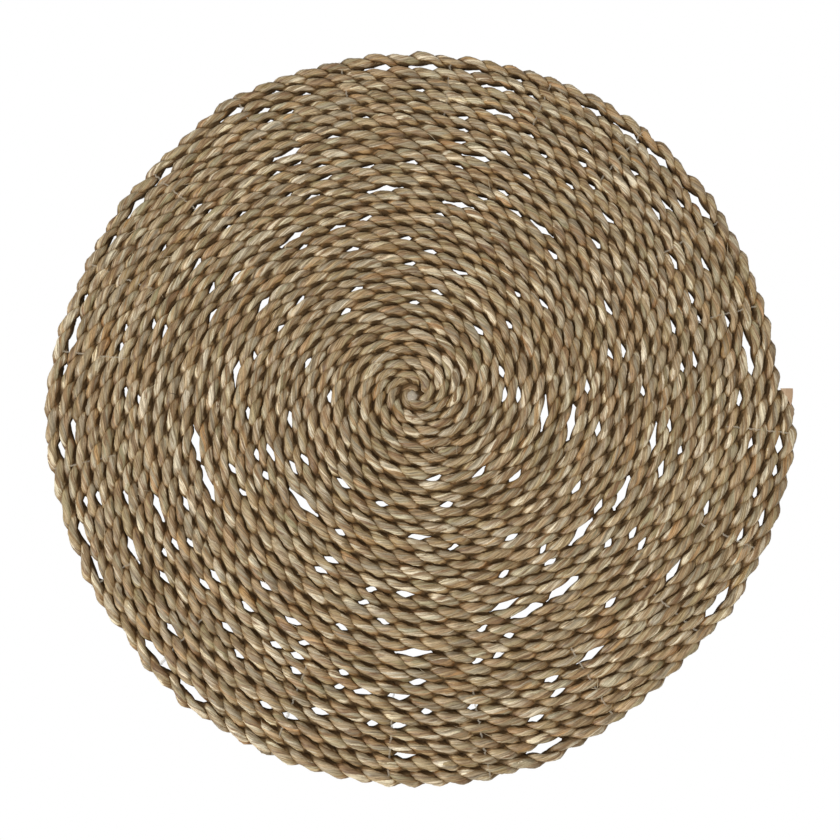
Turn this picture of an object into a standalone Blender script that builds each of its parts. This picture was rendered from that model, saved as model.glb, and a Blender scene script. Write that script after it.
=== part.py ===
"""Round seagrass placemat: one two-strand rope coiled flat, metres, +Z up.

The origin is the centre of the coil on the underside. +X points to the cut end of the rope.
The coil grows outwards anticlockwise seen from above. One closed solid has a rib for each turn
on both faces, slits where neighbouring turns stand apart, and the uneven scalloped rim.
"""
from collections import namedtuple
from math import cos, pi, sin

import bmesh
import bpy
from mathutils import Vector
from mathutils.geometry import delaunay_2d_cdt

MM = 0.001

# Sizes in millimetres, angles in degrees
PITCH = 7.05
TURNS = 27.0
START_TURN = 0.1
THICKNESS = 7.8
ROPE_HALF_WIDTH = 3.85
CREST_HALF_WIDTH = 1.4
WEB_THICKNESS = 2.2
EDGE_THICKNESS = 1.6
LOBE_SPACING = 11.5
LOBE_DEPTH = 1.8
LOBE_SHOULDER = 0.28
CUT_END_SLOPE = 2.5

# Turns where the groove and the two edges of the rope's flat top begin
GROOVE_START = 0.0
OUTER_EDGE_START = 0.0
INNER_EDGE_START = 1.0

# Ridge stations in each turn, by the turn they reach to
Stations = namedtuple("Stations", "to_turn per_turn")
STATIONS = (Stations(2, 12), Stations(5, 16), Stations(12, 24), Stations(28, 32))

# How far the outermost turn lies from the even coil, by bearing
RimShift = namedtuple("RimShift", "bearing shift")
RIM_SHIFTS = (
    RimShift(0, -0.8), RimShift(60, 1.0), RimShift(90, -1.0), RimShift(120, 0.5),
    RimShift(150, -4.5), RimShift(180, -2.0), RimShift(195, -3.5), RimShift(240, -2.0),
    RimShift(280, -1.5), RimShift(315, -6.0), RimShift(340, -2.0), RimShift(352, 0.0),
    RimShift(360, -0.8),
)
SHIFT_FROM_TURN = 17.0
SHIFT_POWER = 1.5

# The longest slits, read off by eye: the turn on the inner side, the bearing of the
# middle and the length
Slit = namedtuple("Slit", "turn bearing length")
SLITS = (
    Slit(25, 34, 20), Slit(25, 44, 14), Slit(25, 51, 14), Slit(25, 58, 12), Slit(25, 80, 12),
    Slit(25, 88, 14), Slit(25, 96, 12), Slit(25, 122, 14), Slit(25, 138, 13), Slit(25, 145, 14),
    Slit(25, 170, 20), Slit(25, 189, 10), Slit(25, 203, 13), Slit(25, 209, 10),
    Slit(25, 226, 20), Slit(25, 234, 14), Slit(25, 290, 14), Slit(25, 325, 18),
    Slit(25, 352, 9), Slit(24, 7, 24), Slit(24, 75, 14), Slit(24, 118, 10), Slit(24, 186, 12),
    Slit(22, 74, 18), Slit(22, 209, 13), Slit(21, 325, 12), Slit(21, 304, 12),
    Slit(20, 117, 14), Slit(19, 204, 12), Slit(18, 75, 14), Slit(17, 270, 14),
    Slit(16, 297, 14), Slit(16, 307, 15), Slit(16, 349, 12), Slit(15, 53, 13), Slit(15, 98, 15),
    Slit(15, 193, 14), Slit(15, 204, 16), Slit(15, 293, 12), Slit(15, 334, 15),
    Slit(14, 77, 13), Slit(14, 127, 13), Slit(14, 320, 14), Slit(12, 149, 11),
    Slit(12, 173, 12), Slit(10, 225, 16), Slit(10, 349, 15), Slit(8, 351, 14),
)
SLIT_WIDTH_SHARE = 0.26
SLIT_WIDTHS = (1.5, 3.0)
LONG_SLIT = 9.0
LONG_SLIT_CORNERS = (0.3, 0.7)
SHORT_SLIT_CORNERS = (0.5,)

MERGE_DISTANCE = 0.00001
SAME_TURN = 0.000001
STRAW = (0.25, 0.18, 0.1, 1)
STRAW_ROUGHNESS = 0.7


def clear_scene():
    for obj in list(bpy.data.objects):
        bpy.data.objects.remove(obj)


def rim_shift(bearing):
    """The rim's shift at a bearing, eased between the table's rows."""
    for row, following in zip(RIM_SHIFTS, RIM_SHIFTS[1:]):
        if bearing <= following.bearing:
            part = (bearing - row.bearing) / (following.bearing - row.bearing)
            part = (1 - cos(pi * part)) / 2
            return row.shift + part * (following.shift - row.shift)
    return RIM_SHIFTS[-1].shift


def radius(turn):
    """Distance from the coil's centre to the rope's middle."""
    fade = max(0.0, (turn - SHIFT_FROM_TURN) / (TURNS - SHIFT_FROM_TURN))
    shift = fade ** SHIFT_POWER * rim_shift(360 * (turn % 1))
    return PITCH * (turn + START_TURN) + shift


def at(turn, distance):
    return Vector((distance * cos(2 * pi * turn), distance * sin(2 * pi * turn)))


def groove_radius(turn):
    """Halfway between a turn and the one outside it."""
    return (radius(turn) + radius(turn + 1)) / 2


def stations_per_turn(turn):
    return next(row.per_turn for row in STATIONS if turn < row.to_turn)


def station_turns(start, end):
    """Turns at even bearings from start to end, both included."""
    turns = [start]
    while turns[-1] < end:
        per_turn = stations_per_turn(turns[-1])
        following = (int((turns[-1] + SAME_TURN) * per_turn) + 1) / per_turn
        turns.append(min(following, end))
    return turns


def slit_spans():
    """Every slit as (start turn, end turn), from the centre outwards."""
    spans = []
    for slit in SLITS:
        turn = slit.turn + slit.bearing / 360
        half = slit.length / 2 / (2 * pi * groove_radius(turn))
        spans.append((turn - half, turn + half))
    return sorted(spans)


def slit_point(turn, offset):
    """A point beside the groove, which runs straight from one ridge station to the next."""
    per_turn = stations_per_turn(turn)
    from_middle = turn * per_turn % 1 - 0.5
    sag = cos(pi / per_turn) / cos(2 * pi * from_middle / per_turn)
    return at(turn, groove_radius(turn) * sag + offset)


def slit_sides(low, high):
    """The points of a lens-shaped slit between its two ends, inner side and outer side."""
    length = (high - low) * 2 * pi * groove_radius((low + high) / 2)
    width = min(max(SLIT_WIDTH_SHARE * length, SLIT_WIDTHS[0]), SLIT_WIDTHS[1])
    shares = LONG_SLIT_CORNERS if length > LONG_SLIT else SHORT_SLIT_CORNERS
    turns = [low + share * (high - low) for share in shares]
    inner = [slit_point(turn, -width / 2) for turn in turns]
    outer = [slit_point(turn, width / 2) for turn in turns]
    return inner, outer


class Plan:
    """Points and edges of the mat seen from above, with each point's height over mid-thickness.

    A closed loop is the rim or a slit, whose points are half the edge's thickness high.
    """

    def __init__(self):
        self.points = []
        self.heights = []
        self.loops = []
        self.edges = []

    def add(self, point, height=EDGE_THICKNESS / 2):
        self.points.append(point)
        self.heights.append(height)
        return len(self.points) - 1

    def join(self, line):
        self.edges.extend(zip(line, line[1:]))

    def close(self, loop):
        self.join(loop + loop[:1])
        self.loops.append(set(loop))


def add_crest(plan, start, side):
    """One edge of the flat band along the rope's top, side -1 inwards and 1 outwards."""
    turns = station_turns(start, TURNS - CUT_END_SLOPE / (2 * pi * radius(TURNS)))
    top = THICKNESS / 2
    offset = side * CREST_HALF_WIDTH
    plan.join([plan.add(at(turn, radius(turn) + offset), top) for turn in turns])


def add_groove(plan):
    """The groove between turns, broken by the slits, whose loops it runs into."""
    web = WEB_THICKNESS / 2
    turns = station_turns(GROOVE_START, TURNS - 1)[:-1]
    line = []
    for low, high in slit_spans():
        clear = (high - low) / 2
        line.extend(plan.add(at(turn, groove_radius(turn)), web)
                    for turn in turns if turn < low - clear)
        first = plan.add(slit_point(low, 0.0))
        last = plan.add(slit_point(high, 0.0))
        plan.join(line + [first])
        inner, outer = slit_sides(low, high)
        plan.close([first] + [plan.add(point) for point in inner] + [last]
                   + [plan.add(point) for point in reversed(outer)])
        line = [last]
        turns = [turn for turn in turns if turn > high + clear]
    line.extend(plan.add(at(turn, groove_radius(turn)), web) for turn in turns)
    plan.join(line)


def rim_points():
    """The scalloped rim, anticlockwise from the step at the rope's cut end."""
    length = 2 * pi * radius(TURNS - 0.5)
    lobes = round(length / LOBE_SPACING)
    points = []
    for lobe in range(lobes):
        for share, depth in ((0.0, LOBE_DEPTH), (LOBE_SHOULDER, 0.0), (1 - LOBE_SHOULDER, 0.0)):
            turn = TURNS - 1 + (lobe + share) / lobes
            points.append(at(turn, radius(turn) + ROPE_HALF_WIDTH - depth))
    points.append(at(TURNS, radius(TURNS) + ROPE_HALF_WIDTH - LOBE_DEPTH))
    return points


def add_rim(plan):
    plan.close([plan.add(point) for point in rim_points()])


def inside(point, outline):
    """Whether a point lies inside a closed outline, by counting the edges it passes."""
    crossings = 0
    for one, other in zip(outline, outline[1:] + outline[:1]):
        if (one.y > point.y) != (other.y > point.y):
            x = one.x + (point.y - one.y) * (other.x - one.x) / (other.y - one.y)
            crossings += x > point.x
    return crossings % 2 == 1


def faces_on_rope(points, faces, plan):
    """The faces that aren't in a slit or outside the rim, where all corners share one loop."""
    loop_of = {point: loop for loop, members in enumerate(plan.loops) for point in members}
    rim = len(plan.loops) - 1
    outline = rim_points()
    kept = []
    for face in faces:
        loops = {loop_of.get(index, -1) for index in face}
        middle = sum((points[index] for index in face), Vector((0, 0))) / 3
        in_rim = loops == {rim} and inside(middle, outline)
        if len(loops) > 1 or loops == {-1} or in_rim:
            kept.append(face)
    return kept


def add_layer(mesh, points, heights, side):
    """The plan's points over mid-thickness for side 1, or under it for side -1."""
    middle = THICKNESS / 2
    layer = []
    for point, height in zip(points, heights):
        layer.append(mesh.verts.new(Vector((point.x, point.y, middle + side * height)) * MM))
    return layer


def closed_mesh(plan):
    """The upper face, the same face turned over below it, and the walls between their edges."""
    points, _, faces, _, _, _ = delaunay_2d_cdt(plan.points, plan.edges, [], 0, MERGE_DISTANCE)
    kept = faces_on_rope(points, faces, plan)
    mesh = bmesh.new()
    upper = add_layer(mesh, points, plan.heights, 1)
    lower = add_layer(mesh, points, plan.heights, -1)
    below = dict(zip(upper, lower))
    for face in kept:
        mesh.faces.new([upper[index] for index in face])
    edges = [edge for edge in mesh.edges if edge.is_boundary]
    for edge in edges:
        corner = edge.link_loops[0]
        start, end = corner.vert, corner.link_loop_next.vert
        mesh.faces.new((end, start, below[start], below[end]))
    for face in kept:
        mesh.faces.new([lower[index] for index in reversed(face)])
    bmesh.ops.triangulate(mesh, faces=mesh.faces)
    return mesh


def seagrass_material():
    material = bpy.data.materials.new("seagrass")
    material.use_nodes = True
    shader = material.node_tree.nodes["Principled BSDF"]
    shader.inputs["Base Color"].default_value = STRAW
    shader.inputs["Roughness"].default_value = STRAW_ROUGHNESS
    shader.inputs["Metallic"].default_value = 0.0
    return material


def make_mat(collection):
    plan = Plan()
    add_crest(plan, INNER_EDGE_START, -1)
    add_crest(plan, OUTER_EDGE_START, 1)
    add_groove(plan)
    add_rim(plan)
    mesh = closed_mesh(plan)
    data = bpy.data.meshes.new("coiled_mat")
    mesh.to_mesh(data)
    mesh.free()
    data.materials.append(seagrass_material())
    collection.objects.link(bpy.data.objects.new("coiled_mat", data))


clear_scene()
placemat = bpy.data.collections.new("seagrass_placemat")
bpy.context.scene.collection.children.link(placemat)
make_mat(placemat)
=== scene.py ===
"""Looks of the round seagrass placemat: a two-strand rope coiled flat and sewn with clear thread."""
from collections import namedtuple
from math import pi, radians

import bmesh
import bpy
import numpy as np
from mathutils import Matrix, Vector


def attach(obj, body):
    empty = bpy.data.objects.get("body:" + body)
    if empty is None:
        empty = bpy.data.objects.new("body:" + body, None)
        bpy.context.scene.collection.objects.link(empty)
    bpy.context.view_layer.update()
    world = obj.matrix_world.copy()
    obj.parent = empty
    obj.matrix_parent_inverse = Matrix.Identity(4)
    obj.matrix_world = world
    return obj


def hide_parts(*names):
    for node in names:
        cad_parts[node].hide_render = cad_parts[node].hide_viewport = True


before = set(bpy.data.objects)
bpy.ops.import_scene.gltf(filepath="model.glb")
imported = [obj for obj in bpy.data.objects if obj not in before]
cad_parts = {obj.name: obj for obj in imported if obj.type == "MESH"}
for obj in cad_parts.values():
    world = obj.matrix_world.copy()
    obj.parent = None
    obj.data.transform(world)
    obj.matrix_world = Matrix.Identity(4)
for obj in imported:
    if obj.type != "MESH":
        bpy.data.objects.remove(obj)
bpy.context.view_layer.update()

MM = 0.001


def added(name, data):
    """A new object in the scene, at the origin."""
    thing = bpy.data.objects.new(name, data)
    bpy.context.scene.collection.objects.link(thing)
    return thing


# The camera looks down on the mat from a little in front of it, as the photograph does.
# Its place is in metres, its tilts are in degrees and its lens is for Blender's 36 mm sensor.
CAMERA_PLACE = (0.0091, -0.0830, 0.4489)
CAMERA_TILTS = (8.85, 0.76, 0.04)
CAMERA_LENS = 37.81

camera_data = bpy.data.cameras.new("camera")
camera_data.lens = CAMERA_LENS
camera = added("camera", camera_data)
camera.location = CAMERA_PLACE
camera.rotation_euler = [radians(tilt) for tilt in CAMERA_TILTS]
bpy.context.scene.camera = camera

# The rope's route. The real mat is one rope of about 16 m, wound flat from the centre, each turn
# laid against the last one and sewn to it. The outermost turns wander in and out by the shifts.
# Sizes are in millimetres, bearings in degrees from +X round to +Y, and places along in turns.
PITCH = 7.05
TURNS = 27.0
START_TURN = 0.1
FIRST_TURN = 0.13
LAST_TURN = 27.0008
GRID_POINTS = 20000
SHIFT_FROM_TURN = 17.0
SHIFT_POWER = 1.5
RimShift = namedtuple("RimShift", "bearing shift")
RIM_SHIFTS = (
    RimShift(0, -1.0), RimShift(60, 0.5), RimShift(85, -2.0), RimShift(120, 0.0),
    RimShift(140, -5.0), RimShift(150, -4.5), RimShift(170, -5.0), RimShift(180, -2.0),
    RimShift(195, -3.5), RimShift(205, -5.0), RimShift(215, -3.5), RimShift(220, -5.0),
    RimShift(240, -2.0), RimShift(280, -1.5), RimShift(315, -6.0), RimShift(340, -2.0),
    RimShift(350, -1.0), RimShift(360, -1.0),
)
Unevenness = namedtuple("Unevenness", "size spacing seed")
ROUTE_UNEVENNESS = Unevenness(0.22, 38, 3)


def smooth(part):
    """Goes from 0 to 1 as the part does, level at both ends."""
    return (1 - np.cos(pi * part)) / 2


def even_radius(turn):
    """Distance of the rope's middle from the centre, before the slits push it aside."""
    fade = np.clip((turn - SHIFT_FROM_TURN) / (TURNS - SHIFT_FROM_TURN), 0, None)
    bearings = [row.bearing for row in RIM_SHIFTS]
    shifts = [row.shift for row in RIM_SHIFTS]
    bearing = 360 * (turn % 1)
    row = np.clip(np.searchsorted(bearings, bearing, side="right") - 1, 0, len(bearings) - 2)
    start = np.take(bearings, row)
    part = smooth((bearing - start) / (np.take(bearings, row + 1) - start))
    shift = np.take(shifts, row) * (1 - part) + np.take(shifts, row + 1) * part
    return PITCH * (turn + START_TURN) + fade ** SHIFT_POWER * shift


def uneven(lengths, kind):
    """Smooth random values along the rope, from -size to size, with a new one every spacing."""
    count = int(np.max(lengths) / kind.spacing) + 3
    values = np.random.default_rng(kind.seed).uniform(-1, 1, count)
    knots = lengths / kind.spacing
    knot = knots.astype(int)
    part = smooth(knots - knot)
    return kind.size * (values[knot] * (1 - part) + values[knot + 1] * part)


# The long slits. Where the sewing is slack, two turns part and the table shows between them. They
# were read off the photograph: the turn on the inner side, the bearing of the middle and the
# length. Both turns bow away from a slit, and the rope's end is tucked in beside its turn.
# A lobe is what shows of a strand where it lies on top, a half turn of the twist.
Slit = namedtuple("Slit", "turn bearing length")
SLITS = (
    Slit(25, 34, 20), Slit(25, 44, 14), Slit(25, 51, 14), Slit(25, 58, 12), Slit(25, 80, 12),
    Slit(25, 88, 14), Slit(25, 96, 12), Slit(25, 122, 14), Slit(25, 138, 13), Slit(25, 145, 14),
    Slit(25, 170, 20), Slit(25, 189, 10), Slit(25, 203, 13), Slit(25, 209, 10),
    Slit(25, 226, 20), Slit(25, 234, 14), Slit(25, 290, 14), Slit(25, 325, 18),
    Slit(25, 352, 9), Slit(24, 7, 24), Slit(24, 75, 14), Slit(24, 118, 10), Slit(24, 186, 12),
    Slit(22, 74, 18), Slit(22, 209, 13), Slit(21, 325, 12), Slit(21, 304, 12),
    Slit(20, 117, 14), Slit(19, 204, 12), Slit(18, 75, 14), Slit(17, 270, 14),
    Slit(16, 297, 14), Slit(16, 307, 15), Slit(16, 349, 12), Slit(15, 53, 13), Slit(15, 98, 15),
    Slit(15, 193, 14), Slit(15, 204, 16), Slit(15, 293, 12), Slit(15, 334, 15),
    Slit(14, 77, 13), Slit(14, 127, 13), Slit(14, 320, 14), Slit(12, 149, 11),
    Slit(12, 173, 12), Slit(10, 225, 16), Slit(10, 349, 15), Slit(8, 351, 14),
)
SLIT_PUSH_SHARE = 0.11
SLIT_PUSH_FROM = 6.0
SLIT_PUSH_MOST = 0.95
RIM_PUSH = 0.7
END_TUCK = 1.5
END_TUCK_TURNS = 0.02
LOBE = 11.4


def middle_turn(slit):
    """Where a slit's middle is along the rope on its inner side, in turns."""
    return slit.turn + slit.bearing / 360


def slit_push(turn):
    """How far the slits push the rope outwards, or inwards where the slit lies outside it."""
    push = np.zeros_like(turn)
    for slit in SLITS:
        middle = middle_turn(slit)
        size = min(max(0, slit.length - SLIT_PUSH_FROM) * SLIT_PUSH_SHARE, SLIT_PUSH_MOST)
        reach = (slit.length / 2 + LOBE / 2) / (2 * pi * even_radius(np.float64(middle)))
        for beside, side in ((middle, -1), (middle + 1, 1)):
            size_there = size + RIM_PUSH if beside > TURNS - 1 else size
            from_middle = np.clip(np.abs(turn - beside) / reach, 0, 1)
            push += side * size_there * np.cos(pi / 2 * from_middle) ** 2
    return push


turn_grid = np.linspace(FIRST_TURN, LAST_TURN, GRID_POINTS)
radius_grid = even_radius(turn_grid)
steps = 2 * pi * (radius_grid[1:] + radius_grid[:-1]) / 2 * np.diff(turn_grid)
length_grid = np.concatenate([[0], np.cumsum(steps)])
radius_grid = radius_grid + slit_push(turn_grid) + uneven(length_grid, ROUTE_UNEVENNESS)
tucked = np.clip(1 - (LAST_TURN - turn_grid) / END_TUCK_TURNS, 0, 1)
radius_grid = radius_grid - END_TUCK * smooth(tucked)

# The twist. The lobes are shorter near the centre and uneven in length, and they are fitted so
# that the strands lie one above the other where a long slit opens. A strand stays longer on top
# and below than it does at the sides.
LOBE_UNEVENNESS = Unevenness(0.22, 90, 27)
TWIST_UNEVENNESS = Unevenness(0.4, 55, 5)
START_LOBE = 0.6
FULL_LOBE_TURN = 4.5
LOBE_TOLERANCE = 0.17
DWELL = 0.27


def slit_anchors():
    """Lengths along the rope where a slit needs the two strands one above the other."""
    anchors = []
    for slit in SLITS:
        lobes = max(1, round(slit.length / LOBE))
        for beside in (middle_turn(slit), middle_turn(slit) + 1):
            length = np.interp(beside, turn_grid, length_grid)
            anchors += [length + (lobe - (lobes - 1) / 2) * LOBE for lobe in range(lobes)]
    return sorted(anchors)


def twist_grid():
    """The strands' angle along the rope: a half turn each lobe, fitted to the slits it can meet."""
    lobe = LOBE * (1 + uneven(length_grid, LOBE_UNEVENNESS))
    lobe *= np.interp(turn_grid, (0, FULL_LOBE_TURN), (START_LOBE, 1))
    lobes_grid = np.concatenate([[0], np.cumsum(np.diff(length_grid) / lobe[1:])])
    counts = [0.0]
    angles = [0.0]
    for anchor in slit_anchors():
        stretch = np.interp(anchor, length_grid, lobes_grid) - counts[-1]
        lobes = round(stretch)
        if lobes > 0 and abs(stretch / lobes - 1) < LOBE_TOLERANCE:
            counts.append(counts[-1] + stretch)
            angles.append(angles[-1] - pi * lobes)
    lobes = round(lobes_grid[-1] - counts[-1]) + 1
    counts.append(counts[-1] + lobes)
    angles.append(angles[-1] - pi * lobes)
    return np.interp(lobes_grid, counts, angles) + pi / 2 + uneven(length_grid, TWIST_UNEVENNESS)


angle_grid = twist_grid()
angle_grid = angle_grid + DWELL * np.sin(2 * angle_grid)

# The strands' thickness. Each is a bundle of leaves that swells and thins. The rope starts thin,
# and it is a little thinner where it is cut off.
STRAND_ORBIT = 1.75
STRAND_HALF_WIDTH = 2.2
STRAND_HALF_HEIGHT = 2.15
STRAND_UNEVENNESS = (Unevenness(0.2, 14, 11), Unevenness(0.2, 13, 12))
START_TAPER = 0.5
FULL_TURN = 1.1
END_TAPER = 0.86
END_TAPER_TURNS = 0.009

stout_grids = [1 + uneven(length_grid, kind) for kind in STRAND_UNEVENNESS]


def rope_taper(turn):
    """The rope's width over its usual one."""
    part = np.clip((turn - FIRST_TURN) / (FULL_TURN - FIRST_TURN), 0, 1)
    left = np.clip((LAST_TURN - turn) / END_TAPER_TURNS, 0, 1)
    return (START_TAPER + (1 - START_TAPER) * part) * (END_TAPER + (1 - END_TAPER) * left)


def free_reach(side):
    """How far the loose rope would reach from its middle line, outwards for side 1."""
    sway = side * STRAND_ORBIT * np.cos(angle_grid)
    one, other = [STRAND_HALF_WIDTH * stout for stout in stout_grids]
    return np.maximum(sway + one, other - sway) * rope_taper(turn_grid)


def beyond(side, grid):
    """What a grid holds for the next turn, outwards for side 1."""
    return np.interp(turn_grid + side, turn_grid, grid)


# The short slits. They open in places where both turns have their strands one above the other, by
# a rule with a fixed seed. A slit's width follows its length, and it is wider near the rim.
SMALL_SLIT_LENGTHS = (3.0, 8.0)
SMALL_SLIT_SHARE = 0.26
SMALL_SLIT_SEED = 41
SLIT_SPACING = 5.0
OPEN_FROM_TURN = 5.5
LEAST_GAP = 1.5
SLIT_SLENDERNESS = 0.19
SLIT_LEAST_WIDTH = 1.9
SLIT_MOST_WIDTH = 2.9
SLIT_RIM_WIDTH = 1.7
SLIT_BLUNTNESS = 3
SLIT_END = 0.9
SLIT_END_EASE = 0.25
SLIT_PINCH = 0.25


def small_slits():
    """Short openings, some of those where the loose turns would leave a gap."""
    gap = beyond(1, radius_grid) - radius_grid - free_reach(1) - beyond(1, free_reach(-1))
    peaks = 1 + np.flatnonzero((gap[1:-1] > gap[:-2]) & (gap[1:-1] >= gap[2:]))
    chance = np.random.default_rng(SMALL_SLIT_SEED)
    found = []
    for turn, radius, size in zip(turn_grid[peaks], radius_grid[peaks], gap[peaks]):
        length = chance.uniform(*SMALL_SLIT_LENGTHS)
        clear = all(abs(turn - middle_turn(slit)) * 2 * pi * radius
                    > (slit.length + length) / 2 + SLIT_SPACING for slit in SLITS + tuple(found))
        wanted = chance.uniform() < SMALL_SLIT_SHARE
        if OPEN_FROM_TURN < turn < TURNS - 1 and size > LEAST_GAP and clear and wanted:
            found.append(Slit(int(turn), 360 * (turn % 1), length))
    return tuple(found)


all_slits = SLITS + small_slits()


def slit_width(turn):
    """Width of the slit outside a place on the rope, and how far the place lies within one."""
    width = np.zeros_like(turn)
    within = np.zeros_like(turn)
    for slit in all_slits:
        middle = middle_turn(slit)
        reach = (slit.length / 2 + SLIT_END) / (2 * pi * even_radius(np.float64(middle + 0.5)))
        part = np.abs(turn - middle) / reach
        widest = np.clip(slit.length * SLIT_SLENDERNESS, SLIT_LEAST_WIDTH, SLIT_MOST_WIDTH)
        widest += SLIT_RIM_WIDTH * slit.turn / TURNS
        width = np.maximum(width, widest * (1 - part ** SLIT_BLUNTNESS))
        within = np.maximum(within, np.clip((1 + SLIT_END_EASE - part) / SLIT_END_EASE, 0, 1))
    return width, within


def room_beside(side):
    """Three things on the rope's outer side, or its inner one for side -1: how far it may reach
    before it meets the next turn, how far it does, and whether it meets it, 0 in a slit to 1."""
    other = turn_grid + side
    distance = side * (beyond(side, radius_grid) - radius_grid)
    own = free_reach(side)
    room = (distance + own - beyond(side, free_reach(-side))) / 2
    width, within = slit_width(turn_grid if side > 0 else other)
    pinched = width * (1 - SLIT_PINCH * np.abs(np.cos(angle_grid)))
    room = np.where(width > 0, np.minimum(room, (distance - pinched) / 2), room)
    alone = (other > TURNS) | (other < FIRST_TURN)
    room = np.where(alone, own + PITCH, room)
    reach = np.where(alone, room, np.minimum(room, own))
    return room, reach, np.where(alone, 0, 1 - within)


# The rope's middle line as a mesh, with what the strands need at each point. The rope rises and
# falls a little along its way.
MIDDLE_HEIGHT = 3.9
HEIGHT_UNEVENNESS = Unevenness(0.18, 70, 9)
STEP = 1.45


def give(mesh, name, values):
    """Keeps a number or a vector for each point of a mesh."""
    values = np.asarray(values, np.float32)
    kind, field = ("FLOAT", "value") if values.ndim == 1 else ("FLOAT_VECTOR", "vector")
    mesh.attributes.new(name, kind, "POINT").data.foreach_set(field, values.ravel())


def route_mesh(name, first_turn, last_turn):
    """The rope's middle line between two turns."""
    first, last = np.interp((first_turn, last_turn), turn_grid, length_grid)
    count = int((last - first) / STEP) + 1
    lengths = np.linspace(first, last, count)
    turns = np.interp(lengths, length_grid, turn_grid)
    radii = np.interp(turns, turn_grid, radius_grid)
    outward = np.stack([np.cos(2 * pi * turns), np.sin(2 * pi * turns), 0 * turns], 1)
    points = outward * radii[:, None]
    points[:, 2] = MIDDLE_HEIGHT + uneven(lengths, HEIGHT_UNEVENNESS)
    mesh = bpy.data.meshes.new(name)
    mesh.from_pydata(points * MM, [(i, i + 1) for i in range(count - 1)], [])
    give(mesh, "outward", outward)
    give(mesh, "along", lengths)
    give(mesh, "twist", np.interp(turns, turn_grid, angle_grid))
    give(mesh, "taper", rope_taper(turns))
    for key, side in (("out", 1), ("in", -1)):
        room, reach, meets = room_beside(side)
        give(mesh, "room_" + key, np.interp(turns, turn_grid, room) * MM)
        give(mesh, "reach_" + key, np.interp(turns, turn_grid, reach) * MM)
        give(mesh, "meets_" + key, np.interp(turns, turn_grid, meets))
    for number, stout in enumerate(stout_grids):
        give(mesh, f"stout_{number}", np.interp(turns, turn_grid, stout))
    return mesh


# Short ways to write nodes, for the geometry trees and the materials.
def place(tree, kind, inputs, **settings):
    """Adds a node; inputs maps its sockets to values or to the sockets that feed them."""
    node = tree.nodes.new(kind)
    for name, value in settings.items():
        setattr(node, name, value)
    for key, value in inputs.items():
        if isinstance(value, bpy.types.NodeSocket):
            tree.links.new(value, node.inputs[key])
        else:
            node.inputs[key].default_value = value
    return node


def calc(tree, operation, *values):
    """A Math node's result."""
    node = place(tree, "ShaderNodeMath", dict(enumerate(values)), operation=operation)
    return node.outputs[0]


def minus(tree, value):
    """The value with its sign turned round."""
    return calc(tree, "MULTIPLY", value, -1.0)


def vector_calc(tree, operation, *values):
    """A Vector Math node's result, a number for the dot product."""
    node = place(tree, "ShaderNodeVectorMath", dict(enumerate(values)), operation=operation)
    return node.outputs["Value" if operation == "DOT_PRODUCT" else "Vector"]


def scaled(tree, vector, factor):
    """The vector times a number."""
    node = place(tree, "ShaderNodeVectorMath", {0: vector, "Scale": factor}, operation="SCALE")
    return node.outputs["Vector"]


def upward(tree, height):
    """A vector straight up."""
    return place(tree, "ShaderNodeCombineXYZ", {"Z": height}).outputs[0]


def ease(tree, value, low, high):
    """0 below low, 1 above high and smooth between them."""
    node = place(tree, "ShaderNodeMapRange", {"Value": value, "From Min": low, "From Max": high},
                 interpolation_type="SMOOTHSTEP")
    return node.outputs["Result"]


def noise(tree, grain, scale, detail, roughness=0.5):
    """Soft random values; scale says how fast they change along each axis of the grain."""
    node = place(tree, "ShaderNodeTexNoise", {
        "Vector": vector_calc(tree, "MULTIPLY", grain, scale), "Scale": 1.0,
        "Detail": detail, "Roughness": roughness})
    return node.outputs[0]


def mix(tree, factor, one, other, blend="MIX"):
    """Two colours mixed, one at factor 0 and other at factor 1."""
    node = place(tree, "ShaderNodeMix", {"Factor": factor, "A": one, "B": other},
                 data_type="RGBA", blend_type=blend)
    return node.outputs["Result"]


def ramp(tree, value, stops):
    """A colour picked along rows of a position and a colour."""
    node = place(tree, "ShaderNodeValToRGB", {"Fac": value})
    elements = node.color_ramp.elements
    while len(elements) < len(stops):
        elements.new(0.5)
    for element, (position, colour) in zip(elements, stops):
        element.position = position
        element.color = (*colour, 1)
    return node.outputs["Color"]


def here(tree):
    """Where a point is when the field is read."""
    return place(tree, "GeometryNodeInputPosition", {}).outputs[0]


def attribute(tree, name, kind="FLOAT"):
    """What the mesh keeps at a point under a name."""
    node = place(tree, "GeometryNodeInputNamedAttribute", {"Name": name}, data_type=kind)
    return node.outputs["Attribute"]


def store(tree, geometry, name, value, kind="FLOAT"):
    """The geometry with a value kept at each point under a name."""
    node = place(tree, "GeometryNodeStoreNamedAttribute",
                 {"Geometry": geometry, "Name": name, "Value": value},
                 data_type=kind, domain="POINT")
    return node.outputs["Geometry"]


def new_tree(name, sizes):
    """A geometry tree with a geometry input and output, and a named input for each size."""
    tree = bpy.data.node_groups.new(name, "GeometryNodeTree")
    tree.is_modifier = True
    tree.interface.new_socket("Geometry", in_out="INPUT", socket_type="NodeSocketGeometry")
    tree.interface.new_socket("Geometry", in_out="OUTPUT", socket_type="NodeSocketGeometry")
    for size in sizes:
        tree.interface.new_socket(size, in_out="INPUT", socket_type="NodeSocketFloat")
    tree.interface.new_socket("Material", in_out="INPUT", socket_type="NodeSocketMaterial")
    return tree


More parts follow.
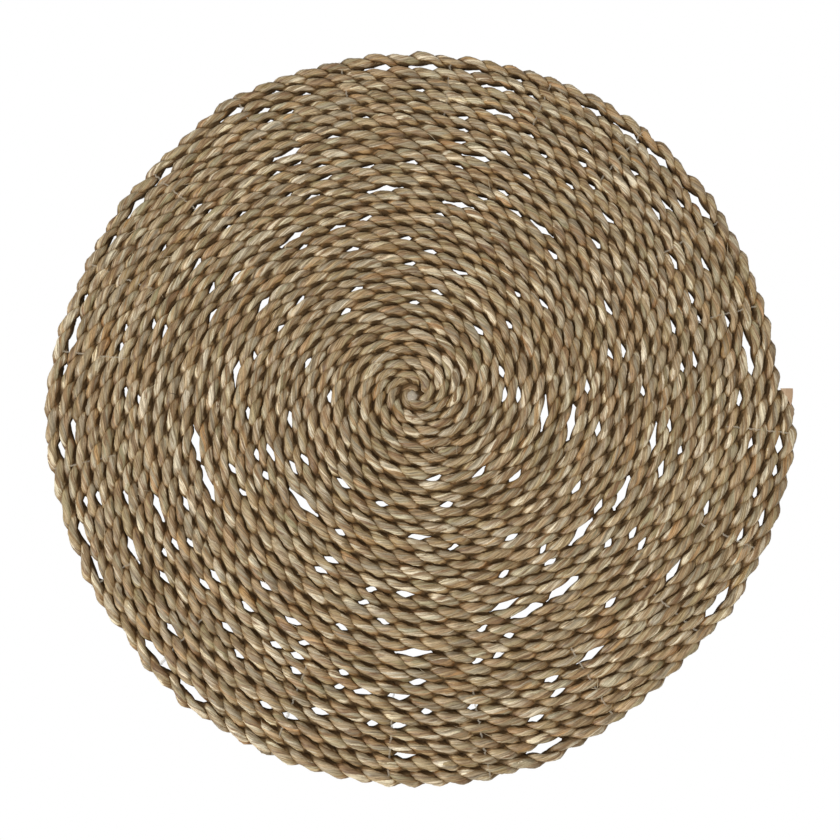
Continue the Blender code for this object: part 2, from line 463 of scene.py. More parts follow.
def finish_tree(tree, entry, geometry):
    """Ends a tree with real geometry, shaded smooth, and its material."""
    shaded = place(tree, "GeometryNodeSetShadeSmooth", {"Geometry": geometry})
    real = place(tree, "GeometryNodeRealizeInstances", {"Geometry": shaded.outputs[0]})
    dressed = place(tree, "GeometryNodeSetMaterial",
                    {"Geometry": real.outputs[0], "Material": entry.outputs["Material"]})
    place(tree, "NodeGroupOutput", {"Geometry": dressed.outputs[0]})


def made_real(name, base):
    """A plain piece with the mesh that another object's modifier makes, in that one's stead."""
    evaluated = base.evaluated_get(bpy.context.evaluated_depsgraph_get())
    mesh = bpy.data.meshes.new_from_object(evaluated)
    mesh.name = name
    bpy.data.objects.remove(base)
    return added(name, mesh)


def grown(name, mesh, tree, values):
    """A new piece with the mesh that a tree grows on another mesh."""
    base = added("base", mesh)
    modifier = base.modifiers.new("grow", "NODES")
    modifier.node_group = tree
    for item in tree.interface.items_tree:
        if item.in_out == "INPUT" and item.name in values:
            modifier[item.identifier] = values[item.name]
    return made_real(name, base)


def new_material(name, inputs):
    """A material whose Principled shader has the given inputs."""
    material = bpy.data.materials.new(name)
    material.use_nodes = True
    shader = material.node_tree.nodes["Principled BSDF"]
    for key, value in inputs.items():
        shader.inputs[key].default_value = value
    return material


# The rope's strands. Each is a bundle of long flat seagrass leaves, laid right-handed round the
# other one, so it is never quite round, and it flattens where the next turn presses on it. The
# rope is made in stretches only to keep each mesh a handy size.
SIDES = 16
HALF_THICKNESS = 3.7
PRESS_EASE = 0.5
HEIGHT_EASE_SHARE = 0.6
JOIN_OVERLAP = 0.45
JOIN_RANGE = (0.08, 0.45)
WAIST_RANGE = (0.05, 0.42)
LEAF_DEPTH = 0.7
LEAF_TURN = -0.2
LEAF_GRAIN = (2.1, 2.1, 0.05)
OTHER_STRAND_ANGLE = 2.1
OTHER_STRAND_STATION = 4000.0
UP = (0, 0, 1)
LEVEL = (1, 1, 0)
RopeStretch = namedtuple("RopeStretch", "name first last")
ROPE_STRETCHES = (
    RopeStretch("rope_centre", FIRST_TURN, 12.5), RopeStretch("rope_inner", 12.5, 17.5),
    RopeStretch("rope_middle", 17.5, 21.3), RopeStretch("rope_outer", 21.3, 24.4),
    RopeStretch("rope_rim", 24.4, LAST_TURN),
)


def round_strand(tree, entry, outward, angle, thinning):
    """A strand as an even round tube. Its points keep where the rope's middle line and the
    strand's own one run beside them."""
    route = store(tree, entry.outputs["Geometry"], "axis", here(tree), "FLOAT_VECTOR")
    orbit = calc(tree, "MULTIPLY", entry.outputs["Orbit"], thinning)
    aside = scaled(tree, outward, calc(tree, "MULTIPLY", orbit, calc(tree, "COSINE", angle)))
    rise = upward(tree, calc(tree, "MULTIPLY", orbit, calc(tree, "SINE", angle)))
    moved = place(tree, "GeometryNodeSetPosition",
                  {"Geometry": route, "Offset": vector_calc(tree, "ADD", aside, rise)})
    route = store(tree, moved.outputs[0], "strand", here(tree), "FLOAT_VECTOR")
    curve = place(tree, "GeometryNodeMeshToCurve", {"Mesh": route}).outputs[0]
    curve = place(tree, "GeometryNodeSetCurveNormal", {"Curve": curve}, mode="Z_UP").outputs[0]
    ring = place(tree, "GeometryNodeCurvePrimitiveCircle",
                 {"Resolution": SIDES, "Radius": entry.outputs["Half Height"]}).outputs[0]
    return place(tree, "GeometryNodeCurveToMesh",
                 {"Curve": curve, "Profile Curve": ring, "Fill Caps": True}).outputs[0]


def leaf_grain(tree, number, along, beside, above):
    """Places in the leaf: two round the strand, which turn slowly along it, and one along it."""
    facing = place(tree, "ShaderNodeCombineXYZ", {"X": beside, "Y": above}).outputs[0]
    angle = calc(tree, "MULTIPLY_ADD", along, LEAF_TURN, OTHER_STRAND_ANGLE * number)
    turned = place(tree, "ShaderNodeVectorRotate", {"Vector": facing, "Angle": angle},
                   rotation_type="Z_AXIS").outputs[0]
    station = upward(tree, calc(tree, "ADD", along, OTHER_STRAND_STATION * number))
    return vector_calc(tree, "ADD", turned, station)


def pressed(tree, value, room, soft):
    """The value held under room, easing towards it over the last stretch, soft long."""
    start = calc(tree, "SUBTRACT", room, soft)
    over = calc(tree, "MAXIMUM", calc(tree, "SUBTRACT", value, start), 0.0)
    eased = calc(tree, "SUBTRACT", 1.0, calc(
        tree, "EXPONENT", minus(tree, calc(tree, "DIVIDE", over, soft))))
    return calc(tree, "ADD", calc(tree, "MINIMUM", value, start),
                calc(tree, "MULTIPLY", eased, soft))


def joined_up(tree, aside, side, waist):
    """Spreads the rope's side at mid-height until it meets the next turn's."""
    reach = attribute(tree, "reach_" + side)
    off_middle = ease(tree, calc(tree, "DIVIDE", aside, reach), *JOIN_RANGE)
    share = calc(tree, "MULTIPLY", calc(tree, "MULTIPLY", off_middle, waist),
                 attribute(tree, "meets_" + side))
    target = calc(tree, "ADD", attribute(tree, "room_" + side), JOIN_OVERLAP * MM)
    return calc(tree, "MULTIPLY_ADD", share, calc(tree, "SUBTRACT", target, aside), aside)


def held_aside(tree, aside, waist, soft):
    """A place across the rope, held beside the turn outside and then the one inside."""
    for side in ("out", "in"):
        aside = pressed(tree, aside, attribute(tree, "room_" + side), soft)
        aside = minus(tree, joined_up(tree, aside, side, waist))
    return aside


def held_height(tree, height, room, soft):
    """A height over the rope's middle, held below the mat's top and then above its underside."""
    below = minus(tree, pressed(tree, height, room, soft))
    return minus(tree, pressed(tree, below, room, soft))


# Painted shade: how hidden a place on a strand is, which the material darkens as painted shade where
# shade would fall. The groove is where the strands touch, the gap is low down between two turns,
# and the shadow, a painted shadow, is under the strand on top.
GROOVE_RANGE = (0.0, 0.9)
GROOVE_SHADE = 0.8
DEPTH_RANGE = (0.3, 0.95)
SIDE_RANGE = (0.4, 0.95)
UNDER_RANGE = (-0.1, 0.5)
UNDER_SHADE = 0.72
FACE_SHARPNESS = 3.0


def crevice_shade(tree, entry, spoke, centre, angle, aside, height):
    """Painted shade mask: 0 in the open and 1 deep down."""
    facing_other = vector_calc(tree, "DOT_PRODUCT", vector_calc(tree, "NORMALIZE", spoke),
                               scaled(tree, vector_calc(tree, "NORMALIZE", centre), -1.0))
    groove_shade = calc(tree, "MULTIPLY", ease(tree, facing_other, *GROOVE_RANGE), GROOVE_SHADE)
    upright = calc(tree, "DIVIDE", vector_calc(tree, "DOT_PRODUCT", spoke, UP),
                   entry.outputs["Half Height"])
    face = place(tree, "ShaderNodeClamp", {
        "Value": calc(tree, "MULTIPLY", upright, FACE_SHARPNESS), "Min": -1.0, "Max": 1.0,
    }).outputs[0]
    depth = calc(tree, "SUBTRACT", 1.0, calc(tree, "DIVIDE", calc(tree, "MULTIPLY", height, face),
                                             entry.outputs["Half Thickness"]))
    side_reach = calc(tree, "MAXIMUM",
                      calc(tree, "DIVIDE", aside, attribute(tree, "reach_out")),
                      calc(tree, "DIVIDE", minus(tree, aside), attribute(tree, "reach_in")))
    gap = calc(tree, "MULTIPLY", ease(tree, depth, *DEPTH_RANGE),
               ease(tree, side_reach, *SIDE_RANGE))
    under = minus(tree, calc(tree, "MULTIPLY", calc(tree, "SINE", angle), face))
    shadow = calc(tree, "MULTIPLY", ease(tree, under, *UNDER_RANGE), UNDER_SHADE)
    return calc(tree, "MAXIMUM", calc(tree, "MAXIMUM", groove_shade, gap), shadow)


def add_strand(tree, entry, number):
    """One strand laid round the route, swelling with its leaves and pressed by its neighbours."""
    outward = attribute(tree, "outward", "FLOAT_VECTOR")
    angle = calc(tree, "ADD", attribute(tree, "twist"), pi * number)
    thinning = attribute(tree, "taper")
    tube = round_strand(tree, entry, outward, angle, thinning)

    half_height = entry.outputs["Half Height"]
    axis = attribute(tree, "axis", "FLOAT_VECTOR")
    strand = attribute(tree, "strand", "FLOAT_VECTOR")
    spoke = vector_calc(tree, "SUBTRACT", here(tree), strand)
    centre = vector_calc(tree, "SUBTRACT", strand, axis)
    beside = vector_calc(tree, "DOT_PRODUCT", spoke, outward)
    above = vector_calc(tree, "DOT_PRODUCT", spoke, UP)
    grain = leaf_grain(tree, number, attribute(tree, "along"),
                       calc(tree, "DIVIDE", beside, half_height),
                       calc(tree, "DIVIDE", above, half_height))
    tube = store(tree, tube, "grain", grain, "FLOAT_VECTOR")
    leaves = noise(tree, attribute(tree, "grain", "FLOAT_VECTOR"), LEAF_GRAIN, 1.0)
    swell = calc(tree, "MULTIPLY", thinning, calc(
        tree, "MULTIPLY_ADD", calc(tree, "SUBTRACT", leaves, 0.5),
        entry.outputs["Leaf Depth"], attribute(tree, f"stout_{number}")))
    widening = calc(tree, "MULTIPLY", swell, entry.outputs["Widening"])
    aside = calc(tree, "ADD", calc(tree, "MULTIPLY", beside, widening),
                 vector_calc(tree, "DOT_PRODUCT", centre, outward))
    height = calc(tree, "ADD", calc(tree, "MULTIPLY", above, swell),
                  vector_calc(tree, "DOT_PRODUCT", centre, UP))

    soft = entry.outputs["Press Ease"]
    room_up = entry.outputs["Half Thickness"]
    waist = calc(tree, "SUBTRACT", 1.0, ease(tree, calc(
        tree, "DIVIDE", calc(tree, "ABSOLUTE", height), room_up), *WAIST_RANGE))
    aside = held_aside(tree, aside, waist, soft)
    height = held_height(tree, height, room_up, calc(tree, "MULTIPLY", soft, HEIGHT_EASE_SHARE))
    ahead = vector_calc(tree, "MULTIPLY", vector_calc(
        tree, "SUBTRACT", spoke, scaled(tree, outward, beside)), LEVEL)
    settled = vector_calc(tree, "ADD", axis,
                          vector_calc(tree, "ADD", ahead, scaled(tree, outward, aside)))
    settled = vector_calc(tree, "ADD", settled, upward(tree, height))
    # The painted shade mask, darkened by the material in grooves, between turns and under the top
    # strand.
    tube = store(tree, tube, "crevice_shade",
                 crevice_shade(tree, entry, spoke, centre, angle, aside, height))
    result = place(tree, "GeometryNodeSetPosition",
                   {"Geometry": tube, "Position": settled}).outputs[0]
    for name in ("axis", "strand", "outward", "twist", "room_out", "room_in", "meets_out",
                 "meets_in", "reach_out", "reach_in", "taper", "stout_0", "stout_1", "along"):
        result = place(tree, "GeometryNodeRemoveAttribute",
                       {"Geometry": result, "Name": name}).outputs[0]
    return result


def rope_tree():
    """Both strands, along the route that the tree is given."""
    tree = new_tree("two_strand_rope", ("Orbit", "Half Height", "Widening", "Leaf Depth",
                                        "Press Ease", "Half Thickness"))
    entry = place(tree, "NodeGroupInput", {})
    both = place(tree, "GeometryNodeJoinGeometry", {})
    for number in (0, 1):
        tree.links.new(add_strand(tree, entry, number), both.inputs[0])
    finish_tree(tree, entry, both.outputs[0])
    return tree


# Dry seagrass: straw-coloured leaf with olive, grey-green and reddish-brown lengths, streaked
# along its fibres, with painted shade in the grooves between its leaves and deep painted shade where
# the rope is hidden. The grain's scales are across, across and along.
LEAF_TONES = (
    (0.0, (0.25, 0.165, 0.085)), (0.18, (0.40, 0.30, 0.165)), (0.36, (0.53, 0.41, 0.25)),
    (0.52, (0.33, 0.27, 0.155)), (0.68, (0.84, 0.73, 0.53)), (0.84, (0.41, 0.35, 0.24)),
    (1.0, (0.50, 0.32, 0.15)),
)
LEAF_HUES = (
    (0.0, (0.62, 0.42, 0.12)), (0.25, (0.5, 0.5, 0.5)), (0.45, (0.66, 0.42, 0.30)),
    (0.65, (0.40, 0.48, 0.30)), (0.85, (0.52, 0.5, 0.48)), (1.0, (0.64, 0.36, 0.16)),
)
STREAK_SHADES = (
    (0.34, (0.54, 0.50, 0.45)), (0.47, (0.94, 0.93, 0.93)), (0.63, (1.36, 1.38, 1.41)),
)
RUSSET = (0.28, 0.165, 0.075, 1)
GREY_GREEN = (0.33, 0.27, 0.175, 1)
# Painted shade colours: the first for leaf grooves and shallow hidden places, the second near-black
# for deep ones.
SHADE_BROWN = (0.62, 0.52, 0.40, 1)
DEEP_SHADE_BROWN = (0.1, 0.06, 0.028, 1)
LEAF_CELLS = (0.95, 0.95, 0.045)
STREAK_GRAIN = (4.2, 4.2, 0.13)
STREAK_ROUGHNESS = 0.65
RUSSET_GRAIN = (1.3, 1.3, 0.11)
RUSSET_RANGE = (0.5, 0.72)
GREEN_GRAIN = (0.9, 0.9, 0.02)
GREEN_RANGE = (0.5, 0.75)
FUZZ_GRAIN = (14, 14, 0.35)
HUE_SHARE = 0.36
# Painted shade ranges: in the leaf grooves, in shallow hidden places and in deep ones.
LEAF_GROOVE_SHADE_RANGE = (0.40, 0.50)
LEAF_GROOVE_SHADE_SHARE = 0.85
SHADE_RANGE = (0.0, 0.6)
DEEP_SHADE_RANGE = (0.45, 1.0)
ROUGHNESS_LEAST = 0.3
ROUGHNESS_SPREAD = 0.3
STREAK_HEIGHT = 0.7
FUZZ_HEIGHT = 0.3
SPECULAR = 0.5
BUMP_STRENGTH = 0.45
BUMP_DISTANCE = 0.6


def leaf_colour(group, grain, painted_shade, streak):
    """Each leaf's own tone, with russet and green lengths and streaks, and painted shade in its leaf
    grooves and hidden places.
    """
    leaf = place(group, "ShaderNodeTexVoronoi", {
        "Vector": vector_calc(group, "MULTIPLY", grain, LEAF_CELLS), "Scale": 1.0})
    pick = place(group, "ShaderNodeSeparateColor", {"Color": leaf.outputs["Color"]})
    colour = mix(group, HUE_SHARE, ramp(group, pick.outputs[0], LEAF_TONES),
                 ramp(group, pick.outputs[1], LEAF_HUES), "SOFT_LIGHT")
    colour = mix(group, ease(group, noise(group, grain, RUSSET_GRAIN, 2), *RUSSET_RANGE),
                 colour, RUSSET)
    colour = mix(group, ease(group, noise(group, grain, GREEN_GRAIN, 1), *GREEN_RANGE),
                 colour, GREY_GREEN)
    colour = mix(group, 1.0, colour, ramp(group, streak, STREAK_SHADES), "MULTIPLY")
    # Painted shade in the leaf grooves, where the leaf noise that thins the strand dips, and in
    # shallow hidden places.
    leaf_groove_shade = calc(group, "SUBTRACT", 1.0,
                ease(group, noise(group, grain, LEAF_GRAIN, 1), *LEAF_GROOVE_SHADE_RANGE))
    for share in (calc(group, "MULTIPLY", leaf_groove_shade, LEAF_GROOVE_SHADE_SHARE), ease(group, painted_shade, *SHADE_RANGE)):
        colour = mix(group, share, colour, mix(group, 1.0, colour, SHADE_BROWN, "MULTIPLY"))
    # Painted shade: near-black brown deep in hidden places.
    return mix(group, ease(group, painted_shade, *DEEP_SHADE_RANGE), colour, DEEP_SHADE_BROWN)


def fibre_group():
    """Colour, roughness, shine and height of dry seagrass, from the grain and the painted shade
    mask, which darkens the colour and lowers the shine.
    """
    group = bpy.data.node_groups.new("dry_seagrass", "ShaderNodeTree")
    group.interface.new_socket("Grain", in_out="INPUT", socket_type="NodeSocketVector")
    group.interface.new_socket("Crevice Shade", in_out="INPUT", socket_type="NodeSocketFloat")
    for name, kind in (("Color", "Color"), ("Roughness", "Float"), ("Specular", "Float"),
                       ("Height", "Float")):
        group.interface.new_socket(name, in_out="OUTPUT", socket_type="NodeSocket" + kind)
    entry = place(group, "NodeGroupInput", {})
    grain = entry.outputs["Grain"]
    painted_shade = entry.outputs["Crevice Shade"]
    streak = noise(group, grain, STREAK_GRAIN, 3, STREAK_ROUGHNESS)
    fuzz = noise(group, grain, FUZZ_GRAIN, 2)
    place(group, "NodeGroupOutput", {
        "Color": leaf_colour(group, grain, painted_shade, streak),
        "Roughness": calc(group, "MULTIPLY_ADD", streak, ROUGHNESS_SPREAD, ROUGHNESS_LEAST),
        "Specular": calc(group, "MULTIPLY_ADD", painted_shade, -SPECULAR, SPECULAR),
        "Height": calc(group, "ADD", calc(group, "MULTIPLY", streak, STREAK_HEIGHT),
                       calc(group, "MULTIPLY", fuzz, FUZZ_HEIGHT))})
    return group


fibre = fibre_group()


def seagrass_material(name, bleach=(1, 1, 1, 1), bleach_share=0.0):
    """Dry, faintly waxy leaf with its grain along the strand, bleached where it is cut."""
    material = new_material(name, {})
    tree = material.node_tree
    shader = tree.nodes["Principled BSDF"]
    grain = place(tree, "ShaderNodeAttribute", {}, attribute_name="grain")
    # The painted shade mask, which darkens the colour and keeps the bleach out of the shade.
    painted_shade = place(tree, "ShaderNodeAttribute", {}, attribute_name="crevice_shade")
    look = place(tree, "ShaderNodeGroup", {}, node_tree=fibre)
    tree.links.new(grain.outputs["Vector"], look.inputs["Grain"])
    tree.links.new(painted_shade.outputs["Fac"], look.inputs["Crevice Shade"])
    bump = place(tree, "ShaderNodeBump", {
        "Height": look.outputs["Height"], "Strength": BUMP_STRENGTH,
        "Distance": BUMP_DISTANCE * MM})
    share = calc(tree, "MULTIPLY", calc(tree, "SUBTRACT", 1.0, painted_shade.outputs["Fac"]),
                 bleach_share)
    colour = mix(tree, share, look.outputs["Color"], bleach)
    tree.links.new(colour, shader.inputs["Base Color"])
    tree.links.new(look.outputs["Roughness"], shader.inputs["Roughness"])
    tree.links.new(bump.outputs["Normal"], shader.inputs["Normal"])
    tree.links.new(look.outputs["Specular"], shader.inputs["Specular IOR Level"])
    return material


rope_nodes = rope_tree()
rope_material = seagrass_material("seagrass_rope")
for stretch in ROPE_STRETCHES:
    rope = grown(stretch.name, route_mesh("route", stretch.first, stretch.last), rope_nodes, {
        "Orbit": STRAND_ORBIT * MM, "Half Height": STRAND_HALF_HEIGHT * MM,
        "Widening": STRAND_HALF_WIDTH / STRAND_HALF_HEIGHT, "Leaf Depth": LEAF_DEPTH,
        "Press Ease": PRESS_EASE * MM, "Half Thickness": HALF_THICKNESS * MM,
        "Material": rope_material,
    })
    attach(rope, "root")
    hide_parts("coiled_mat")

# The rope's start. It is turned up on end at the middle of the coil, so its cut leaves show as a
# pale round, with a dark hollow to the right of it. It widens below, where the next turn holds it.
START_PLACE = (-1.2, -1.8)
StartRing = namedtuple("StartRing", "height radius")
START_RINGS = (
    StartRing(0.9, 1.5), StartRing(1.2, 2.6), StartRing(2.1, 3.0), StartRing(3.0, 4.4),
    StartRing(3.5, 8.6), StartRing(4.1, 8.6), StartRing(4.7, 4.2), StartRing(5.5, 3.0),
    StartRing(6.4, 2.7), StartRing(6.9, 1.4),
)
START_SIDES = 28
START_FLUTES = 5
START_FLUTE_PHASE = 1
START_FLUTE_DEPTH = 0.07
START_SIDE_JITTER = 0.05
START_HEIGHT_JITTER = 0.12
START_SEED = 31
START_GRAIN_SCALE = 0.9
START_STATION = 40
START_LIT_DEPTH = 1.4
START_LIT_EASE = 0.8
CUT_GREY = (0.56, 0.5, 0.41, 1)
CUT_SHARE = 0.6


def start_ring(ring, chance):
    """The points of one ring of the rope's start."""
    points = []
    for side in range(START_SIDES):
        bearing = 2 * pi * side / START_SIDES
        flute = START_FLUTE_DEPTH * np.sin(START_FLUTES * bearing + START_FLUTE_PHASE)
        jitter = chance.uniform(-START_SIDE_JITTER, START_SIDE_JITTER)
        reach = ring.radius * (1 + flute + jitter)
        height = ring.height + chance.uniform(-START_HEIGHT_JITTER, START_HEIGHT_JITTER)
        points.append((START_PLACE[0] + reach * np.cos(bearing),
                       START_PLACE[1] + reach * np.sin(bearing), height))
    return points


def rope_start(name):
    """A stub of ringed leaf ends, its grain standing up."""
    chance = np.random.default_rng(START_SEED)
    verts = [point for ring in START_RINGS for point in start_ring(ring, chance)]
    faces = []
    for low in range(0, len(verts) - START_SIDES, START_SIDES):
        for side in range(START_SIDES):
            after = (side + 1) % START_SIDES
            faces.append((low + side, low + after, low + START_SIDES + after,
                          low + START_SIDES + side))
    faces.append(tuple(reversed(range(START_SIDES))))
    faces.append(tuple(range(len(verts) - START_SIDES, len(verts))))
    mesh = bpy.data.meshes.new(name)
    mesh.from_pydata([Vector(vert) * MM for vert in verts], [], faces)
    mesh.shade_smooth()
    give(mesh, "grain", [(x * START_GRAIN_SCALE, y * START_GRAIN_SCALE, START_STATION + z)
                         for x, y, z in verts])
    # Painted shade: the stub is darkened near mid-height, where the turns hide it, and left bright
    # near its top and bottom.
    lit = [np.clip((abs(z - MIDDLE_HEIGHT) - START_LIT_DEPTH) / START_LIT_EASE, 0, 1)
           for x, y, z in verts]
    give(mesh, "crevice_shade", 1 - np.array(lit, np.float32))
    mesh.materials.append(seagrass_material("cut_leaf_ends", CUT_GREY, CUT_SHARE))
    return added(name, mesh)


start = rope_start("rope_start")
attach(start, "root")
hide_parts("coiled_mat")


# The rope's other end. It is cut off square on the rim, with its last leaf pressed flat on top.
# The leaf narrows back into the rope and bends in with it.
END_WIDTH = 6.2
END_NARROWING = 0.95
END_LENGTH = 8.6
END_LEAN = 1.0
END_REACH = 1.7
END_INSET = -0.3
END_THICKNESS = 0.7
END_TOP = 7.75
END_DROP = 0.9
END_CROWN = 0.9
END_CELLS_ACROSS = 6
END_CELLS_ALONG = 8
END_GRAIN_SCALE = 0.5
END_TAN = (0.56, 0.365, 0.225, 1)
END_SHARE = 0.75


def end_leaf(name):
    """A flat leaf end with a square cut, shaped on a grid one unit wide and one long."""
    outer_edge = np.interp(LAST_TURN, turn_grid, radius_grid) + END_WIDTH / 2 - END_INSET
    shape = bmesh.new()
    bmesh.ops.create_grid(shape, x_segments=END_CELLS_ACROSS, y_segments=END_CELLS_ALONG,
                          size=0.5)
    for vert in shape.verts:
        across, back = vert.co.x, 0.5 - vert.co.y
        width = END_WIDTH * (1 - END_NARROWING * back)
        height = END_TOP - END_DROP * back ** 2 - END_CROWN * across ** 2
        edge = outer_edge - END_LEAN * back ** 2
        vert.co = Vector((edge - (0.5 - across) * width, END_REACH - back * END_LENGTH,
                          height)) * MM
    mesh = bpy.data.meshes.new(name)
    shape.to_mesh(mesh)
    shape.free()
    give(mesh, "grain", [(vert.co.x / MM * END_GRAIN_SCALE, vert.co.z / MM, vert.co.y / MM)
                         for vert in mesh.vertices])
    give(mesh, "crevice_shade", np.zeros(len(mesh.vertices)))
    mesh.materials.append(seagrass_material("flat_leaf", END_TAN, END_SHARE))
    sheet = added("base", mesh)
    thicken = sheet.modifiers.new("thicken", "SOLIDIFY")
    thicken.thickness = END_THICKNESS * MM
    return made_real(name, sheet)


end = end_leaf("rope_end")
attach(end, "root")
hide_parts("coiled_mat")


# Thin round things swept along lines: the sewing thread and the loose fibres.
THREAD_SIDES = 6


def thread_tree():
    """Each line of the mesh as a round thread, as stout along it as the line says."""
    tree = new_tree("swept_thread", ("Thickness",))
    entry = place(tree, "NodeGroupInput", {})
    curve = place(tree, "GeometryNodeMeshToCurve", {"Mesh": entry.outputs["Geometry"]})
    ring = place(tree, "GeometryNodeCurvePrimitiveCircle", {
        "Resolution": THREAD_SIDES,
        "Radius": calc(tree, "MULTIPLY", entry.outputs["Thickness"], 0.5)})
    tube = place(tree, "GeometryNodeCurveToMesh", {
        "Curve": curve.outputs[0], "Profile Curve": ring.outputs[0],
        "Scale": attribute(tree, "stout"), "Fill Caps": True})
    finish_tree(tree, entry, tube.outputs[0])
    return tree


def line_mesh(name, lines, stout_along):
    """Separate lines in one mesh, each with its thickness along it from stout_along."""
    points = [point for line in lines for point in line]
    edges = []
    stout = []
    for line in lines:
        first = len(stout)
        edges += [(first + i, first + i + 1) for i in range(len(line) - 1)]
        stout += [stout_along(i / (len(line) - 1)) for i in range(len(line))]
    mesh = bpy.data.meshes.new(name)
    mesh.from_pydata(np.array(points) * MM, edges, [])
    give(mesh, "stout", stout)
    return mesh


thread_nodes = thread_tree()

# The sewing: clear nylon thread in straight rows from the rim inwards, all the way round. It lies
# over the turns on both faces and is drawn down between them, so it shows as short pale bits.
THREAD_THICKNESS = 1.0
THREAD_TOP = 2.35
THREAD_DIP = 1.7
THREAD_STEP = 0.8
THREAD_FROM = 152.0
THREAD_FROM_SPREAD = 9
THREAD_PAST_RIM = 2.6
THREAD_SWAY = 0.4
THREAD_SWAY_COUNT = 64
ROW_COUNT = 20
ROW_FIRST = 13.0
ROW_WANDER = 2.0
ROW_SEED = 17
NYLON = (0.78, 0.70, 0.56, 1)
NYLON_SOLID = 0.22
NYLON_ROUGHNESS = 0.6
NYLON_SPECULAR = 0.3


def rope_middles(bearing):
    """Distances from the centre of the rope's middle lines that a bearing crosses."""
    turns = np.arange(int(TURNS) + 1) + bearing / 360
    turns = turns[(turns > FIRST_TURN) & (turns < TURNS)]
    return np.interp(turns, turn_grid, radius_grid)


def stitch_row(bearing, face, chance):
    """One row of thread over the outer turns, on the top face for face 1 and below for -1."""
    middles = rope_middles(bearing)
    sway = chance.uniform(-1, 1, THREAD_SWAY_COUNT)
    first = THREAD_FROM + chance.uniform(-THREAD_FROM_SPREAD, THREAD_FROM_SPREAD)
    line = []
    for step, radius in enumerate(np.arange(first, middles[-1] + THREAD_PAST_RIM, THREAD_STEP)):
        off = np.min(np.abs(middles - radius)) / (PITCH / 2)
        height = THREAD_TOP - (THREAD_TOP - THREAD_DIP) * min(off, 1) ** 2
        turned = radians(bearing) + THREAD_SWAY * sway[step % THREAD_SWAY_COUNT] / radius
        line.append((radius * np.cos(turned), radius * np.sin(turned),
                     MIDDLE_HEIGHT + face * height))
    return line


row_chance = np.random.default_rng(ROW_SEED)
row_bearings = ROW_FIRST + 360 / ROW_COUNT * np.arange(ROW_COUNT)
row_bearings += row_chance.uniform(-ROW_WANDER, ROW_WANDER, ROW_COUNT)
rows = [stitch_row(bearing, face, row_chance) for bearing in row_bearings for face in (1, -1)]
nylon = new_material("clear_nylon", {
    "Base Color": NYLON, "Roughness": NYLON_ROUGHNESS, "Specular IOR Level": NYLON_SPECULAR,
    "Alpha": NYLON_SOLID})
sewing = grown("sewing_thread", line_mesh("rows", rows, lambda part: 1.0), thread_nodes, {
    "Thickness": THREAD_THICKNESS * MM, "Material": nylon})
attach(sewing, "root")

# Loose fibres: frayed leaf edges that stand a little off the rope, and small tufts where one
# length of leaf was laid in after another. They get thinner towards their tips.
FIBRE_COUNT = 90
FIBRE_SEED = 23
FIBRE_THICKNESS = 0.42
FIBRE_THINNING = 0.8
FIBRE_POINTS = 7
FIBRE_LENGTHS = (4, 10)
FIBRE_HEIGHT = 6.9
FIBRE_TOP = 8.3
FIBRE_ROOT_DEPTH = 1.2
FIBRE_RISES = (0.0, 1.0)
FIBRE_BENDS = (-0.8, 0.8)
FIBRE_HEADINGS = (-0.9, 0.5)
FIBRE_ASIDE = 2.5
FIBRE_LEAST_TURN_SQUARED = 2
FIBRE_LAST_TURN = TURNS - 0.5
Tuft = namedtuple("Tuft", "bearing distance count")
TUFTS = (Tuft(158, 144, 7), Tuft(200, 148, 6), Tuft(301, 171, 7))
TUFT_SPREAD = 1.5
TUFT_HEADING_SPREAD = 0.7
TUFT_LENGTHS = (4, 8)
FIBRE_COLOUR = (0.52, 0.42, 0.27, 1)
FIBRE_ROUGHNESS = 0.6


def fibre_line(x, y, heading, length, chance):
    """A fibre from a point on the top face, curving as it goes."""
    line = []
    bend = chance.uniform(*FIBRE_BENDS)
    rise = chance.uniform(*FIBRE_RISES)
    for step in range(FIBRE_POINTS):
        part = step / (FIBRE_POINTS - 1)
        height = FIBRE_HEIGHT - FIBRE_ROOT_DEPTH * (1 - part) ** 2 + rise * part
        line.append((x, y, min(FIBRE_TOP, height)))
        turned = heading + bend * part
        x += length / FIBRE_POINTS * np.cos(turned)
        y += length / FIBRE_POINTS * np.sin(turned)
    return line


def loose_fibres():
    """Lines for the single fibres, evenly spread over the mat, and for the tufts."""
    chance = np.random.default_rng(FIBRE_SEED)
    lines = []
    for _ in range(FIBRE_COUNT):
        turn = np.sqrt(chance.uniform(FIBRE_LEAST_TURN_SQUARED, FIBRE_LAST_TURN ** 2))
        radius = np.interp(turn, turn_grid, radius_grid)
        radius += chance.uniform(-FIBRE_ASIDE, FIBRE_ASIDE)
        bearing = 2 * pi * turn
        heading = bearing + pi / 2 + chance.uniform(*FIBRE_HEADINGS) + pi * chance.integers(0, 2)
        lines.append(fibre_line(radius * np.cos(bearing), radius * np.sin(bearing), heading,
                                chance.uniform(*FIBRE_LENGTHS), chance))
    for tuft in TUFTS:
        bearing = radians(tuft.bearing)
        for _ in range(tuft.count):
            x = tuft.distance * np.cos(bearing) + chance.normal(0, TUFT_SPREAD)
            y = tuft.distance * np.sin(bearing) + chance.normal(0, TUFT_SPREAD)
            heading = bearing + pi / 2 + chance.normal(0, TUFT_HEADING_SPREAD)
            lines.append(fibre_line(x, y, heading, chance.uniform(*TUFT_LENGTHS), chance))
    return lines


pale_fibre = new_material("pale_fibre", {
    "Base Color": FIBRE_COLOUR, "Roughness": FIBRE_ROUGHNESS})
fibre_lines = line_mesh("fibre_lines", loose_fibres(), lambda part: 1 - FIBRE_THINNING * part)
fibres = grown("loose_fibres", fibre_lines, thread_nodes, {
    "Thickness": FIBRE_THICKNESS * MM, "Material": pale_fibre})
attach(fibres, "root")

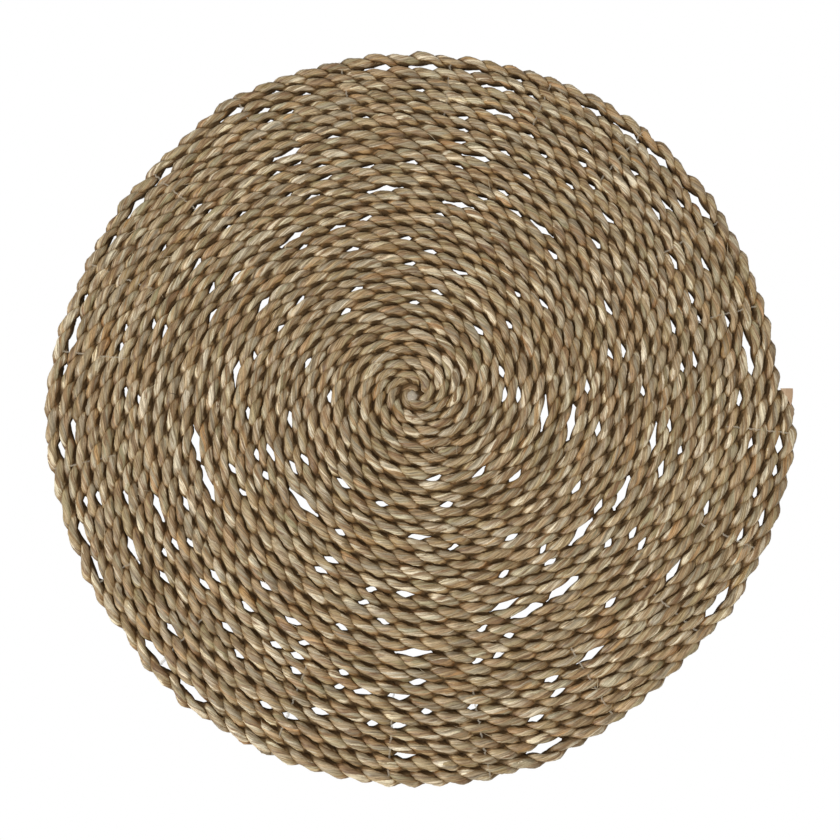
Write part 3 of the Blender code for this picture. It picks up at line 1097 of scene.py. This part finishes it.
# The floor and the light: a plain white table under an even white sky, with a soft lamp on the
# near left and a weaker one opposite. The camera sees the table lit evenly, so that it stays
# white in the slits. Places and sizes are in metres.
FLOOR_HALF = 2.0
FLOOR_DROP = 0.0003
FLOOR_WHITE = (0.8, 0.8, 0.8, 1)
FLOOR_ROUGHNESS = 0.9
FLOOR_GLOW = 1.0
SKY_WHITE = (1, 1, 1, 1)
SKY_STRENGTH = 0.42
Lamp = namedtuple("Lamp", "name place size power")
LAMPS = (
    Lamp("near_left_lamp", (-0.8, -0.8, 1.0), 0.8, 15.0),
    Lamp("far_right_lamp", (0.8, 0.7, 1.2), 1.2, 5.0),
)


def floor_material():
    """White, and evenly bright where the camera looks straight at it."""
    material = new_material("white_table", {
        "Base Color": FLOOR_WHITE, "Roughness": FLOOR_ROUGHNESS})
    tree = material.node_tree
    shader = tree.nodes["Principled BSDF"]
    glow = place(tree, "ShaderNodeEmission", {"Strength": FLOOR_GLOW})
    seen = place(tree, "ShaderNodeLightPath", {})
    chosen = place(tree, "ShaderNodeMixShader", {
        0: seen.outputs["Is Camera Ray"], 1: shader.outputs[0], 2: glow.outputs[0]})
    tree.links.new(chosen.outputs[0], tree.nodes["Material Output"].inputs["Surface"])
    return material


floor_mesh = bpy.data.meshes.new("table")
floor_mesh.from_pydata([(-FLOOR_HALF, -FLOOR_HALF, 0), (FLOOR_HALF, -FLOOR_HALF, 0),
                        (FLOOR_HALF, FLOOR_HALF, 0), (-FLOOR_HALF, FLOOR_HALF, 0)],
                       [], [(0, 1, 2, 3)])
floor_mesh.materials.append(floor_material())
floor = added("table", floor_mesh)
floor.location.z = -FLOOR_DROP

for lamp in LAMPS:
    light = bpy.data.lights.new(lamp.name, "AREA")
    light.size = lamp.size
    light.energy = lamp.power
    light_object = added(lamp.name, light)
    light_object.location = lamp.place
    light_object.rotation_euler = (-Vector(lamp.place)).to_track_quat("-Z", "Y").to_euler()

sky = bpy.data.worlds.new("sky")
sky.use_nodes = True
sky.node_tree.nodes["Background"].inputs["Color"].default_value = SKY_WHITE
sky.node_tree.nodes["Background"].inputs["Strength"].default_value = SKY_STRENGTH
bpy.context.scene.world = sky
bpy.context.scene.view_settings.view_transform = "Standard"
